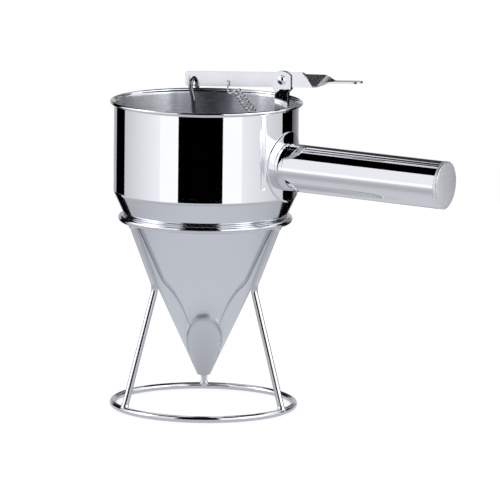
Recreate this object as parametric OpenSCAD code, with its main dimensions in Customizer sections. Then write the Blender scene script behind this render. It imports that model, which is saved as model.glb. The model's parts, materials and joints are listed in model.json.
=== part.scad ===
// Pancake batter dispenser: a steel funnel with a thumb lever that lifts a
// plunger off the nozzle, standing loose in a wire stand.
// Millimetres. Origin at the centre of the stand's foot ring, on the floor.
// +Z up, the handle points along +X, and the lever works in the XZ plane.

/* [Cup] */
// Outer diameter of the straight cup wall
cup_d = 125; // [122:0.5:134]
// Height of the rim plane above the sharp corner of cup and cone
cup_h = 61.2; // [52:0.1:75]
// Sheet thickness of the cup
cup_wall = 0.8; // [0.6:0.1:1.2]
// Outer radius that rounds the corner of cup and cone
shoulder_r = 5; // [4:1:20]
// Diameter of the rolled bead round the rim
bead_d = 2.4; // [1.8:0.1:3.2]
// How far the centre of the bead stands outside the cup wall
bead_out = 1.6; // [1:0.1:2.4]

/* [Cone] */
// Half angle of the cone
cone_angle = 24.8; // [24:0.1:26]
// Sheet thickness of the cone
cone_wall = 0.8; // [0.6:0.1:1.2]
// Outer diameter of the cut-off tip
tip_d = 8.7; // [8:0.1:12]

/* [Handle] */
// Outer diameter of the handle tube
handle_d = 32; // [26:1:34]
// Sheet thickness of the handle tube
handle_wall = 0.8; // [0.6:0.1:1.5]
// Length of the handle from its flange to the end of its cap
handle_len = 116.5; // [90:0.5:150]
// Height of the rim plane over the handle's axis, taken at the cup's axis
handle_drop = 37.6; // [34:0.1:40]
// Angle by which the handle points below the horizontal
handle_droop = 1.7; // [0:0.1:4]
// Diameter of the saddle flange that the handle is welded to
flange_d = 48; // [42:1:50]
// Thickness of the saddle flange
flange_t = 1; // [0.8:0.1:1.5]
// Height of the flange's short collar, which the tube is welded to
collar_h = 1.5; // [1:0.1:4]
// How far the collar lies inside the tube's outer surface
collar_inset = 0.2; // [0.1:0.05:0.3]
// Thickness of the end cap at its edge
cap_t = 1.4; // [1:0.1:2.5]
// Height of the end cap's shallow dome
cap_dome = 0.8; // [0.4:0.1:1.5]
// Depth of the end cap's plug inside the tube
cap_plug = 4; // [2:0.5:8]
// Bevel on each side of the seam between tube and cap
seam_bevel = 0.3; // [0.2:0.05:0.4]

/* [Bracket] */
// Sheet thickness of the lever bracket
bracket_t = 1; // [0.8:0.1:1.2]
// Depth of the bracket's neck, measured inwards from the cup wall
neck_w = 8.7; // [8:0.1:12]
// Width of the bracket's two ears
ear_w = 13.7; // [11:0.1:15]
// Height of the ears over the pivot
ear_rise = 6; // [5:0.1:8]
// Radius of the ears' crown
ear_crown = 10; // [8:0.5:16]
// Depth of the ears' full width under the pivot
ear_drop = 6; // [5:0.1:8]
// How far the bracket reaches down inside the cup, from the rim plane
bracket_drop = 30.5; // [24:0.5:36]

/* [Lever] */
// Height of the lever strip
lever_h = 10; // [8:0.5:10]
// Thickness of the lever strip
lever_t = 1.2; // [1:0.1:1.8]
// Angle by which the lever rises towards its thumb pad at rest
lever_tilt = 3.3; // [1:0.1:4]
// Height of the pivot over the rim plane
pivot_rise = 19.2; // [17:0.1:24]
// Distance of the pivot from the cup's inner wall
pivot_inset = 4.5; // [4:0.1:6]
// Strip beyond the plunger hole
lever_end = 5.9; // [5:0.1:9]
// Corner radius of the strip's plain end
lever_corner = 1.8; // [1:0.1:3]
// Length of flat strip from the pivot to the start of the twist
twist_start = 15.8; // [12:0.1:20]
// Length over which the strip twists by a quarter turn
twist_len = 20; // [14:0.5:26]
// Length of the flat thumb pad
pad_len = 23; // [16:0.5:34]
// How far the thumb pad lies under the strip's centre line
pad_drop = 1.1; // [0:0.1:2]
// Corner radius of the thumb pad
pad_corner = 4; // [2:0.1:4.5]
// Diameter of the plunger hole
hook_hole_d = 6.4; // [6:0.1:7]
// Depth of the plunger hole's centre under the strip's centre line
hook_hole_drop = 0.95; // [0:0.05:1.2]
// Distance of the spring hole from the pivot
spring_arm = 40.6; // [36:0.1:46]
// Diameter of the spring hole
spring_hole_d = 2.4; // [2.2:0.1:3]
// Depth of the spring hole's centre under the strip's centre line
spring_hole_drop = 1.5; // [0:0.1:2]
// Travel of the lever when the thumb pad is pressed
lever_travel = 15; // [8:1:16]

/* [Pivot rivet] */
// Diameter of the rivet's shank
rivet_d = 3; // [2.5:0.1:4]
// Diameter of the rivet's domed heads
rivet_head_d = 6.5; // [5.5:0.1:8]
// Height of the domed heads
rivet_head_h = 1.6; // [1:0.1:2]

/* [Return spring] */
// Wire diameter of the return spring
spring_wire = 0.9; // [0.7:0.05:1]
// Outer diameter of the spring's coil
spring_od = 6.5; // [5.5:0.1:7.5]
// Number of turns in the coil
spring_turns = 16.5; // [12:1:18]
// Length of the hook between the lever hole and the coil
spring_top_len = 8.6; // [8:0.1:11]
// Length of the hook between the coil and the pin
spring_foot_len = 8; // [7:0.1:11]
// Diameter of the pin that holds the spring's foot
pin_d = 2; // [1.6:0.1:2.4]
// Distance of the pin from the cup's inner wall
pin_inset = 6.2; // [5.6:0.1:7]
// Height of the pin over the bracket's lower end
pin_rise = 4; // [3:0.1:6]

/* [Plunger] */
// Diameter of the plunger rod
rod_d = 3; // [2.5:0.1:3.2]
// Distance of the rod's hook from the cup's axis, away from the handle
hook_offset = 9.8; // [6:0.1:14]
// Spacing of the hook's two legs
hook_w = 9.6; // [8.4:0.1:12]
// How far the hook's short leg reaches under the lever
hook_tail = 1.7; // [0.5:0.1:4]
// Height of the bend between the rod's slanted hook and its long shaft, below the hook's centre
bend_drop = 8.7; // [6:0.1:14]
// Angle of the slanted stretch under the hook
hook_slant = 14; // [5:1:20]
// Diameter of the stopper's cylindrical body
stopper_d = 10; // [9:0.5:14]
// Height of the stopper above the tip of the cone
stopper_h = 15; // [12:0.5:24]
// How far the stopper's round nose shows below the tip
nose_h = 1.2; // [0.8:0.1:2]
// Depth of the socket that the rod is fixed in
socket_h = 8; // [5:0.5:9]

/* [Stand] */
// Diameter of the stand's wire
wire_d = 4.5; // [3.5:0.1:5.5]
// Height of the cone's tip above the worktop
tip_clear = 21.8; // [16:0.1:60]
// Height of the sharp corner of cup and cone above the upper ring's centre line
seat_drop = 17.8; // [14:0.1:30]
// Centre-line diameter of the foot ring
foot_d = 123.4; // [108:0.2:150]
// Height of the upper ring's centre line above the legs' knees
knee_drop = 45.2; // [32:0.1:60]
// Distance from the cone's surface out to the centre line of the knees
knee_gap = 4.8; // [4:0.1:12]
// Bend radius of the knees
knee_bend = 12; // [8:1:20]
// Turn of the stand under the funnel
stand_turn = -3; // [-30:1:30]

/* [Clearances] */
// Gap between the cone and the ring that it rests in
seat_gap = 0.15; // [0.1:0.05:0.3]
// Gap between the lever and each ear
side_gap = 0.2; // [0.15:0.05:0.4]
// Radial running clearance of the lever on its rivet
pivot_gap = 0.05; // [0.03:0.01:0.1]
// Gap between the closed stopper and the cone
stopper_gap = 0.1; // [0.05:0.05:0.2]
// Gap between the hook's wire and the edge of its hole at rest
hook_gap = 0.3; // [0.25:0.05:0.4]
// Radial gap of parts that are pushed into each other and fixed
fixing_gap = 0.02; // [0.01:0.01:0.05]
// Gap between the spring's foot and its pin
foot_gap = 0.15; // [0.1:0.05:0.3]
// Gap left over the bracket's web when the lever is fully pressed
stop_gap = 0.3; // [0.2:0.1:0.6]

/* [Hidden] */
$fn = 96;

// How many straight steps stand for a curve that isn't a true circle
arc_steps = 8;
// Colours
mirror_steel = [0.86, 0.87, 0.89];
satin_steel = [0.72, 0.73, 0.75];
wire_steel = [0.78, 0.79, 0.81];

// Funnel
cup_r = cup_d / 2;
cup_in = cup_r - cup_wall;
tip_r = tip_d / 2;
tip_z = tip_clear;
outlet_r = tip_r - cone_wall / cos(cone_angle);
corner_z = tip_z + (cup_r - tip_r) / tan(cone_angle);
rim_z = corner_z + cup_h;

// Outer radius of the cone at a height
function cone_r(z) = tip_r + (z - tip_z) * tan(cone_angle);

// The stand's upper ring touches the cone all round, but for the seat's gap.
wire_r = wire_d / 2;
ring_z = corner_z - seat_drop;
ring_r = cone_r(ring_z) + (wire_r + seat_gap) / cos(cone_angle);
knee = [cone_r(ring_z - knee_drop) + knee_gap, ring_z - knee_drop];

// Shoulder that joins cup and cone
shoulder_at = [cup_r - shoulder_r, corner_z + shoulder_r * tan(cone_angle / 2)];
cone_out = [cos(cone_angle), -sin(cone_angle)];
seam_at = shoulder_at + shoulder_r * cone_out;

// Lip: the wall bends outwards through lip_angle to the centre of the bead.
lip_angle = 90;
lip_r = (bead_out + cup_wall / 2) / (1 - cos(lip_angle));
lip_at = [cup_r - cup_wall / 2 + lip_r, rim_z - lip_r * sin(lip_angle)];

// Handle
handle_z = rim_z - handle_drop;
flange_face = cup_r + flange_t;
tube_start = flange_face + collar_h;
handle_end = flange_face + handle_len;
handle_in = handle_d / 2 - handle_wall;

// Lever and its bracket
bracket_w = lever_t + 2 * side_gap + 2 * bracket_t;
wall_x = sqrt(cup_in * cup_in - bracket_w * bracket_w / 4);
pivot_x = cup_in - pivot_inset;
pivot_z = rim_z + pivot_rise;
hook_x = -hook_offset;
bracket_z = rim_z - bracket_drop;
pin_at = [cup_in - pin_inset, 0, bracket_z + pin_rise];
// Centre of the hook's wire in its hole at rest, seen from the hole's centre
hook_slack = (hook_hole_d - rod_d) / 2 - hook_gap;
hook_lean = 0.5;
hook_lift = sqrt(hook_slack * hook_slack - hook_lean * hook_lean);
// Place of the plunger hole along the strip
hook_arm = (pivot_x - hook_x + hook_lean + hook_hole_drop * sin(lever_tilt)) / cos(lever_tilt);
hook_hole = [-hook_arm, -hook_hole_drop];
spring_hole = [-spring_arm, -spring_hole_drop];
lever_left = hook_arm + lever_end;
pad_end = twist_start + twist_len + pad_len;
// The web ends under the pressed lever's lower edge, as far out as the ears
// reach, and so stops it.
pressed = lever_travel - lever_tilt;
web_top = pivot_z - lever_h / 2 / cos(pressed) - ear_w / 2 * tan(pressed) - stop_gap;

// A point of the lever strip [along, up] as [x, 0, z] in the object's frame
function on_lever(p) = [
    pivot_x + p[0] * cos(lever_tilt) - p[1] * sin(lever_tilt), 0,
    pivot_z + p[0] * sin(lever_tilt) + p[1] * cos(lever_tilt)];

hook_hole_at = on_lever(hook_hole);
hook_top = hook_hole_at[2] + hook_lift;
hook_z = hook_top - hook_w / 2;
spring_at = on_lever(spring_hole);

// Points of an arc round c, from angle a to angle b
function arc(c, r, a, b, n = arc_steps) =
    [for (i = [0:n]) let (t = a + (b - a) * i / n) c + r * [cos(t), sin(t)]];

function unit(v) = v / norm(v);
function smooth(t) = let (s = min(1, max(0, t))) s * s * (3 - 2 * s);

// ---- funnel ----

module cup() {
    color(mirror_steel) rotate_extrude() {
        polygon(concat(
            arc(shoulder_at, shoulder_r, -cone_angle, 0),
            arc(lip_at, lip_r - cup_wall / 2, 180, 180 - lip_angle),
            arc(lip_at, lip_r + cup_wall / 2, 180 - lip_angle, 180),
            arc(shoulder_at, shoulder_r - cup_wall, 0, -cone_angle)));
        translate([cup_r + bead_out, rim_z]) circle(d = bead_d, $fn = 32);
    }
}

module cone() {
    color(satin_steel) rotate_extrude() polygon([
        seam_at, [tip_r, tip_z], [outlet_r, tip_z], seam_at - cone_wall * cone_out]);
}

// Puts its children on the handle's axis, which becomes their Z axis
module on_handle() {
    translate([0, 0, handle_z]) rotate([0, 90 + handle_droop, 0]) children();
}

// A solid of the given radius round the cup's axis, past the handle's height
module round_cup(r) {
    translate([0, 0, handle_z - flange_d]) cylinder(r = r, h = 2 * flange_d, $fn = 180);
}

module handle_flange() {
    collar_r = handle_d / 2 - collar_inset;
    color(mirror_steel) difference() {
        union() {
            intersection() {
                round_cup(flange_face);
                on_handle() cylinder(d = flange_d, h = handle_end);
            }
            on_handle() rotate_extrude() polygon([
                [handle_in, 0], [collar_r, 0], [collar_r, tube_start], [handle_in, tube_start]]);
        }
        round_cup(cup_r);
    }
}

module handle_tube() {
    tube_end = handle_end - cap_t;
    color(mirror_steel) on_handle() rotate_extrude() polygon([
        [handle_in, tube_start], [handle_d / 2, tube_start], [handle_d / 2, tube_end - seam_bevel],
        [handle_d / 2 - seam_bevel, tube_end], [handle_in, tube_end]]);
}

module handle_cap() {
    plug_r = handle_in - fixing_gap;
    edge = handle_end - cap_t;
    shoulder = handle_end - cap_dome;
    dome_base = handle_d / 2 - seam_bevel;
    dome_r = (dome_base * dome_base + cap_dome * cap_dome) / 2 / cap_dome;
    dome_half = asin(dome_base / dome_r);
    color(satin_steel) on_handle() rotate_extrude() polygon(concat(
        [[0, edge - cap_plug], [plug_r, edge - cap_plug], [plug_r, edge],
            [handle_d / 2 - seam_bevel, edge], [handle_d / 2, edge + seam_bevel],
            [handle_d / 2, shoulder - seam_bevel]],
        arc([0, handle_end - dome_r], dome_r, 90 - dome_half, 90)));
}

// Side view of the bracket: a neck up the cup wall and the ears at the pivot
module bracket_outline() {
    ear_low = pivot_z - ear_drop;
    ear_in = pivot_x - ear_w / 2;
    ear_out = pivot_x + ear_w / 2;
    neck_in = wall_x - neck_w;
    polygon([[neck_in, bracket_z], [wall_x, bracket_z], [wall_x, ear_low - (ear_out - wall_x)],
        [ear_out, ear_low], [ear_in, ear_low], [neck_in, ear_low - (neck_in - ear_in)]]);
    intersection() {
        translate([pivot_x, pivot_z + ear_rise - ear_crown]) circle(r = ear_crown);
        translate([ear_in, ear_low]) square([ear_w, ear_drop + ear_rise]);
    }
}

// Puts a drawing in X and Z upright, this thick and centred on the XZ plane
module upright(thickness) {
    rotate([90, 0, 0]) linear_extrude(thickness, center = true) children();
}

module lever_bracket() {
    gap = bracket_w - 2 * bracket_t;
    web_in = wall_x - bracket_t;
    color(satin_steel) difference() {
        upright(bracket_w) bracket_outline();
        translate([web_in - cup_r, -gap / 2, bracket_z - 1]) cube([cup_r, gap, cup_r * 2]);
        translate([0, -gap / 2, web_top]) cube([cup_r * 2, gap, cup_r]);
        translate([pivot_x, 0, pivot_z]) rotate([90, 0, 0])
            cylinder(d = rivet_d + 2 * fixing_gap, h = bracket_w * 2, center = true);
        translate(pin_at) rotate([90, 0, 0])
            cylinder(d = pin_d + 2 * fixing_gap, h = bracket_w * 2, center = true);
    }
}

// Domed head whose flat side is on Z = 0
module dome(d, h) {
    r = (d * d / 4 + h * h) / 2 / h;
    intersection() {
        translate([0, 0, h - r]) sphere(r = r, $fn = 48);
        cylinder(d = d + 1, h = h + 1);
    }
}

module pivot_rivet() {
    color(mirror_steel) translate([pivot_x, 0, pivot_z]) {
        rotate([90, 0, 0]) cylinder(d = rivet_d, h = bracket_w, center = true);
        for (side = [-1, 1])
            rotate([side * 90, 0, 0]) translate([0, 0, bracket_w / 2])
                dome(rivet_head_d, rivet_head_h);
    }
}

module spring_pin() {
    color(satin_steel) translate(pin_at) rotate([90, 0, 0])
        cylinder(d = pin_d, h = bracket_w, center = true);
}

// ---- lever ----

// Four corners of the strip at a distance along it: upright before the
// twist, flat after it, and rounded off at the end of the pad
function strip_section(x) =
    let (turn = 90 * smooth((x - twist_start) / twist_len),
        sink = pad_drop * smooth((x - twist_start) / twist_len),
        past = max(0, x - (pad_end - pad_corner)),
        half = lever_h / 2 - pad_corner + sqrt(pad_corner * pad_corner - past * past),
        across = [0, sin(turn), cos(turn)],
        through = [0, -cos(turn), sin(turn)])
    [for (c = [[1, 1], [1, -1], [-1, -1], [-1, 1]])
        [x, 0, -sink] + c[0] * half * across + c[1] * lever_t / 2 * through];

// Solid through equal rings of points, closed at both ends
module loft(rings) {
    n = len(rings[0]);
    last = (len(rings) - 1) * n;
    sides = [for (i = [0:len(rings) - 2], j = [0:n - 1])
        let (a = i * n + j, b = i * n + (j + 1) % n) each [[a, b, b + n], [a, b + n, a + n]]];
    ends = [for (j = [1:n - 2]) each [[0, j + 1, j], [last, last + j, last + j + 1]]];
    polyhedron([for (r = rings) each r], concat(sides, ends));
}

module twisted_pad() {
    steps_twist = 14;
    steps_corner = 5;
    overlap = 1;
    flat_end = pad_end - pad_corner;
    stations = concat(
        [twist_start - overlap],
        [for (i = [0:steps_twist]) twist_start + twist_len * i / steps_twist],
        [for (i = [0:steps_corner]) flat_end + pad_corner * sin(90 * i / steps_corner)]);
    loft([for (x = stations) strip_section(x)]);
}

// Side view of the flat strip, with its two round corners
module strip_outline() {
    translate([-lever_left + lever_corner, -lever_h / 2])
        square([lever_left - lever_corner + twist_start, lever_h]);
    translate([-lever_left, lever_corner - lever_h / 2])
        square([lever_corner, lever_h - 2 * lever_corner]);
    for (side = [-1, 1])
        translate([lever_corner - lever_left, side * (lever_h / 2 - lever_corner)])
            circle(r = lever_corner, $fn = 32);
}

module lever() {
    color(satin_steel) translate([pivot_x, 0, pivot_z]) rotate([0, -lever_tilt, 0])
        difference() {
            union() {
                upright(lever_t) strip_outline();
                twisted_pad();
            }
            for (hole = [[0, 0, rivet_d + 2 * pivot_gap],
                    [hook_hole[0], hook_hole[1], hook_hole_d],
                    [spring_hole[0], spring_hole[1], spring_hole_d]])
                translate([hole[0], 0, hole[1]]) rotate([90, 0, 0])
                    cylinder(d = hole[2], h = lever_t * 3, center = true, $fn = 48);
        }
}

// ---- return spring ----

// The spring's axis runs from its hole in the lever to its pin.
spring_len = norm(pin_at - spring_at);
spring_dir = unit(pin_at - spring_at);
spring_up = [-spring_dir[2], 0, spring_dir[0]];
coil_r = (spring_od - spring_wire) / 2;
coil_len = spring_len - spring_top_len - spring_foot_len;
coil_from = -60;
rings_a_turn = 8;
// Centre-line radius of the hook over the lever and of the eye round the pin
top_hook_r = lever_t / 2 + spring_wire;
foot_eye_r = pin_d / 2 + foot_gap + spring_wire / 2;

function in_spring(along, up, across) =
    spring_at + along * spring_dir + up * spring_up + [0, across, 0];
function coil_point(k) = let (t = coil_from + 360 * spring_turns * k)
    in_spring(spring_top_len + coil_len * k, coil_r * cos(t), coil_r * sin(t));

// Curve through points, with n steps between each pair
function curve(p, n) = [for (i = [1:len(p) - 3], j = [0:n - 1])
    let (t = j / n, a = p[i - 1], b = p[i], c = p[i + 1], d = p[i + 2])
    b + t * (c - a) / 2 + t * t * (a - 2.5 * b + 2 * c - d / 2)
        + t * t * t * (b * 1.5 - a / 2 - 1.5 * c + d / 2)];

// Hook: up behind the lever, through its hole, down in front of it, and in
// a wide bend under its lower edge to the first turn of the coil
hook_low = spring_hole_drop - lever_h / 2 - 2 * spring_wire;
top_arch = [for (t = [0:30:180])
    spring_at + [0, top_hook_r * cos(t), top_hook_r * sin(t) - top_hook_r]];
top_bend = curve([
    spring_at + [0, -top_hook_r, -top_hook_r],
    spring_at + [0, -top_hook_r, -top_hook_r - spring_wire],
    spring_at + [-0.1, -top_hook_r, hook_low],
    spring_at + [1, -2, hook_low - 1.9],
    spring_at + [3.1, -3, hook_low - 2.1],
    coil_point(0),
    coil_point(1 / 8 / spring_turns)], 3);
spring_start = [for (drop = [2, 1]) spring_at + [0, top_hook_r, -top_hook_r - drop * spring_wire]];
coil_rings = round(spring_turns * rings_a_turn);
coil = [for (i = [0:coil_rings]) coil_point(i / coil_rings)];
// Foot: from the last turn in to the axis, and round the pin
foot_lead = curve([
    coil_point(1 - 1 / 8 / spring_turns),
    coil_point(1),
    in_spring(spring_len - spring_foot_len + 2, 2.2, 0.6),
    in_spring(spring_len - 3, foot_eye_r, 0),
    in_spring(spring_len, foot_eye_r, 0)], 4);
foot_eye = [for (t = [90:-24:-150])
    in_spring(spring_len + foot_eye_r * cos(t), foot_eye_r * sin(t), 0)];
spring_path = concat(spring_start, top_arch, top_bend, coil,
    [for (i = [1:len(foot_lead) - 1]) foot_lead[i]], foot_eye);

// Tube of the given radius along a path of points
function tube_rings(path, r, sides, i = 0, up = [0, 0, 0], done = []) =
    i == len(path) ? done :
    let (along = unit(path[min(i + 1, len(path) - 1)] - path[max(i - 1, 0)]),
        guess = i == 0 ? cross(along, [0.31, 0.52, 0.79]) : up,
        side = unit(guess - (guess * along) * along),
        other = cross(along, side))
    tube_rings(path, r, sides, i + 1, side, concat(done,
        [[for (k = [0:sides - 1]) path[i] + r * (cos(360 * k / sides) * side
            + sin(360 * k / sides) * other)]]));

// Least distance between stretches of the path that lie over a turn apart
function least_gap(path, apart) = min([for (i = [0:len(path) - apart - 1],
    j = [i + apart:len(path) - 1]) norm(path[i] - path[j])]);
echo(spring_least_gap = least_gap(spring_path, 7) - spring_wire);

module return_spring() {
    color(wire_steel) loft(tube_rings(spring_path, spring_wire / 2, 6));
}

// ---- plunger ----

// Round bar between two points, with a ball that rounds the bend at its start
module bar(a, b, d) {
    v = b - a;
    translate(a) {
        rotate([0, acos(v[2] / norm(v)), atan2(v[1], v[0])]) cylinder(d = d, h = norm(v), $fn = 32);
        bend_ball(d);
    }
}

// A hair wider than the bar, so that the two don't share a surface
module bend_ball(d) {
    sphere(d = d + 0.04, $fn = 32);
}

stopper_top = tip_z + stopper_h;
rod_foot = [0, 0, stopper_top - socket_h];
rod_straight = [0, 0, stopper_top + rod_d];
hook_front = [hook_x, -hook_w / 2, hook_z];
rod_bend = hook_front + [bend_drop * tan(hook_slant), 0, -bend_drop];
tail_z = on_lever([-hook_arm, -lever_h / 2])[2] - hook_tail;

module plunger_rod() {
    color(mirror_steel) {
        translate(rod_foot) cylinder(d = rod_d, h = rod_straight[2] - rod_foot[2], $fn = 32);
        bar(rod_straight, rod_bend, rod_d);
        bar(rod_bend, hook_front, rod_d);
        translate(hook_front) bend_ball(rod_d);
        translate([hook_x, 0, hook_z]) rotate([90, 0, 90])
            rotate_extrude(angle = 180) translate([hook_w / 2, 0]) circle(d = rod_d, $fn = 32);
        translate([hook_x, hook_w / 2, hook_z]) bend_ball(rod_d);
        translate([hook_x, hook_w / 2, tail_z]) cylinder(d = rod_d, h = hook_z - tail_z, $fn = 32);
    }
}

module plunger_stopper() {
    seat_low = outlet_r - stopper_gap / cos(cone_angle);
    seat_rise = (stopper_d / 2 - seat_low) / tan(cone_angle);
    nose_r = (seat_low * seat_low + nose_h * nose_h) / 2 / nose_h;
    nose_half = asin(seat_low / nose_r);
    edge = 1;
    color(satin_steel) difference() {
        rotate_extrude() polygon(concat(
            arc([0, tip_z - nose_h + nose_r], nose_r, -90, nose_half - 90),
            [[stopper_d / 2, tip_z + seat_rise], [stopper_d / 2, stopper_top - edge],
                [stopper_d / 2 - edge, stopper_top], [0, stopper_top]]));
        translate(rod_foot) cylinder(d = rod_d + 2 * fixing_gap, h = socket_h + 1, $fn = 32);
    }
}

// ---- stand ----

module ring(r, z) {
    rotate_extrude() translate([r, z]) circle(d = wire_d, $fn = 32);
}

module stand_top_ring() {
    color(wire_steel) ring(ring_r, ring_z);
}

module stand_base_ring() {
    color(wire_steel) ring(foot_d / 2, wire_r);
}

// One bent wire from the upper ring to the foot ring, in the XZ plane
module leg() {
    top = [ring_r, ring_z];
    foot = [foot_d / 2, wire_r];
    lean_up = atan2(top[0] - knee[0], top[1] - knee[1]);
    lean_down = atan2(foot[0] - knee[0], knee[1] - foot[1]);
    turn = lean_up + lean_down;
    cut = knee_bend * tan(turn / 2);
    to_top = unit(top - knee);
    to_foot = unit(foot - knee);
    // The bend's centre is on the outer side of the knee.
    centre = knee + cut * to_top + knee_bend * [cos(lean_up), -sin(lean_up)];
    difference() {
        union() {
            wire_between(knee + cut * to_top, top);
            wire_between(foot, knee + cut * to_foot);
            translate([centre[0], 0, centre[1]]) rotate([90, lean_up - 180, 0])
                rotate_extrude(angle = turn) translate([knee_bend, 0]) circle(d = wire_d, $fn = 32);
            for (p = [knee + cut * to_top, knee + cut * to_foot])
                translate([p[0], 0, p[1]]) bend_ball(wire_d);
        }
        stand_top_ring();
        stand_base_ring();
    }
}

module wire_between(a, b) {
    v = b - a;
    translate([a[0], 0, a[1]]) rotate([0, atan2(v[0], v[1]), 0])
        cylinder(d = wire_d, h = norm(v), $fn = 32);
}

module stand_leg(angle) {
    color(wire_steel) rotate([0, 0, stand_turn + angle]) leg();
}

module stand_leg_right() { stand_leg(0); }
module stand_leg_front_left() { stand_leg(-120); }
module stand_leg_back_left() { stand_leg(120); }

cup();
cone();
handle_flange();
handle_tube();
handle_cap();
lever_bracket();
pivot_rivet();
spring_pin();
lever();
return_spring();
plunger_rod();
plunger_stopper();
stand_top_ring();
stand_base_ring();
stand_leg_right();
stand_leg_front_left();
stand_leg_back_left();
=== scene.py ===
# Pancake batter dispenser: polished funnel with its lever and plunger, and the wire stand.
import json
import math

import bmesh
import bpy
from mathutils import Matrix, Quaternion, Vector


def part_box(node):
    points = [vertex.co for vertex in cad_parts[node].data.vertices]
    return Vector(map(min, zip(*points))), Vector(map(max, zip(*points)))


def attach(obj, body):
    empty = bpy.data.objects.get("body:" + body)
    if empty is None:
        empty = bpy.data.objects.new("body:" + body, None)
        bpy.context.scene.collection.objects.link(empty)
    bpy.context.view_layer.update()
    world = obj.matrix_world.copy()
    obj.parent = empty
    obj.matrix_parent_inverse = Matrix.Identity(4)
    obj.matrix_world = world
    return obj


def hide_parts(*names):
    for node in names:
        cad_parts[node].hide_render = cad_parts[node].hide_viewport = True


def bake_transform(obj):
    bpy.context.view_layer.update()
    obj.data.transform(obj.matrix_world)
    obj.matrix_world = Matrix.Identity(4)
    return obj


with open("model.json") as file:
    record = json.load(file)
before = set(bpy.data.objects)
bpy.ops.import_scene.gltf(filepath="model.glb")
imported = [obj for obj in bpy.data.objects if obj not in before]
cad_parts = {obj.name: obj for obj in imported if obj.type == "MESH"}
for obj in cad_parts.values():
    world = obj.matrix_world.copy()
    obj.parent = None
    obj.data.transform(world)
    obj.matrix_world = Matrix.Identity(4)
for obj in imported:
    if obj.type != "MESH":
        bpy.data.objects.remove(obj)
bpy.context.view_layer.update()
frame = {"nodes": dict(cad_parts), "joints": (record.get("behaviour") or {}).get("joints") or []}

mm = 0.001
wireNear = 0.4  # how close to the ends of a straight wire its held points lie, in mm
scene = bpy.context.scene


def radial(angle):
    return math.cos(math.radians(angle)), math.sin(math.radians(angle))


def arcPoints(centre, radius, start, end, steps):
    turns = [radial(start + (end - start) * i / steps) for i in range(steps + 1)]
    return [(centre[0] + radius * c, centre[1] + radius * s) for c, s in turns]


def heldPoints(points, near=0.25):
    # points close to both ends of each long stretch keep its shading straight
    held = []
    for start, end in zip(points, points[1:]):
        start, end = Vector(start), Vector(end)
        held.append(start)
        cut = near / max((end - start).length, near)
        if cut < 0.2:
            held += [start.lerp(end, cut), start.lerp(end, 1 - cut)]
    return held + [Vector(points[-1])]


def fullTurn(bm, geom, steps):
    bmesh.ops.spin(bm, geom=geom, cent=(0, 0, 0), axis=(0, 0, 1), dvec=(0, 0, 0),
                   angle=2 * math.pi, steps=steps, use_merge=True, use_normal_flip=False,
                   use_duplicate=False)
    bmesh.ops.remove_doubles(bm, verts=bm.verts, dist=0.001 * mm)
    bmesh.ops.recalc_face_normals(bm, faces=bm.faces)


def spinProfile(points, steps, closed=True):
    # (radius, height) points in mm, turned about Z
    if closed:
        points = points + points[:1]
    bm = bmesh.new()
    verts = [bm.verts.new((p[0] * mm, 0, p[1] * mm)) for p in heldPoints(points)]
    edges = [bm.edges.new(pair) for pair in zip(verts, verts[1:])]
    fullTurn(bm, verts + edges, steps)
    return bm


def wireRing(radius, height, wire, steps, sides=24):
    bm = bmesh.new()
    place = Matrix.Translation((radius * mm, 0, height * mm)) @ Matrix.Rotation(math.pi / 2, 4, "X")
    bmesh.ops.create_circle(bm, segments=sides, radius=wire / 2 * mm, matrix=place)
    fullTurn(bm, bm.verts[:] + bm.edges[:], steps)
    return bm


def extrudeFace(bm, face, matrix):
    end = bmesh.ops.extrude_discrete_faces(bm, faces=[face])["faces"][0]
    bmesh.ops.transform(bm, verts=end.verts, matrix=matrix)
    return end


def sweepWire(path, wire, sides=20):
    # a round wire along points in mm, whose sections turn as little as they can
    path = [Vector(p) * mm for p in path]
    ahead = [(b - a).normalized() for a, b in zip(path, path[1:])]
    lean = [ahead[0]] + [(a + b).normalized() for a, b in zip(ahead, ahead[1:])] + [ahead[-1]]
    bm = bmesh.new()
    turn = lean[0].to_track_quat("Z", "X").to_matrix().to_4x4()
    bmesh.ops.create_circle(bm, cap_ends=True, segments=sides, radius=wire / 2 * mm,
                            matrix=Matrix.Translation(path[0]) @ turn)
    end = bm.faces[:][0]
    for i in range(1, len(path)):
        turn = lean[i - 1].rotation_difference(lean[i]).to_matrix().to_4x4()
        end = extrudeFace(bm, end, Matrix.Translation(path[i]) @ turn
                          @ Matrix.Translation(-path[i - 1]))
    bmesh.ops.holes_fill(bm, edges=[e for e in bm.edges if e.is_boundary], sides=0)
    bmesh.ops.recalc_face_normals(bm, faces=bm.faces)
    return bm


def roundedPath(points, radii, step=5):
    # the path through the points, with its corners rounded to these radii
    path = [Vector(points[0])]
    for before, corner, after, radius in zip(points, points[1:], points[2:], radii):
        before, corner, after = Vector(before), Vector(corner), Vector(after)
        back, ahead = (before - corner).normalized(), (after - corner).normalized()
        turn = math.pi - back.angle(ahead)
        centre = corner + (back + ahead).normalized() * (radius / math.cos(turn / 2))
        start = corner + back * radius * math.tan(turn / 2) - centre
        axis = ahead.cross(back).normalized()
        count = max(3, round(math.degrees(turn) / step))
        path += [centre + Quaternion(axis, turn * i / count) @ start for i in range(count + 1)]
    return path + [Vector(points[-1])]


def partsOf(faces, kind):
    # the "verts" or "edges" of the faces, each once and in the same order at every run
    return list(dict.fromkeys(part for face in faces for part in getattr(face, kind)))


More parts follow.
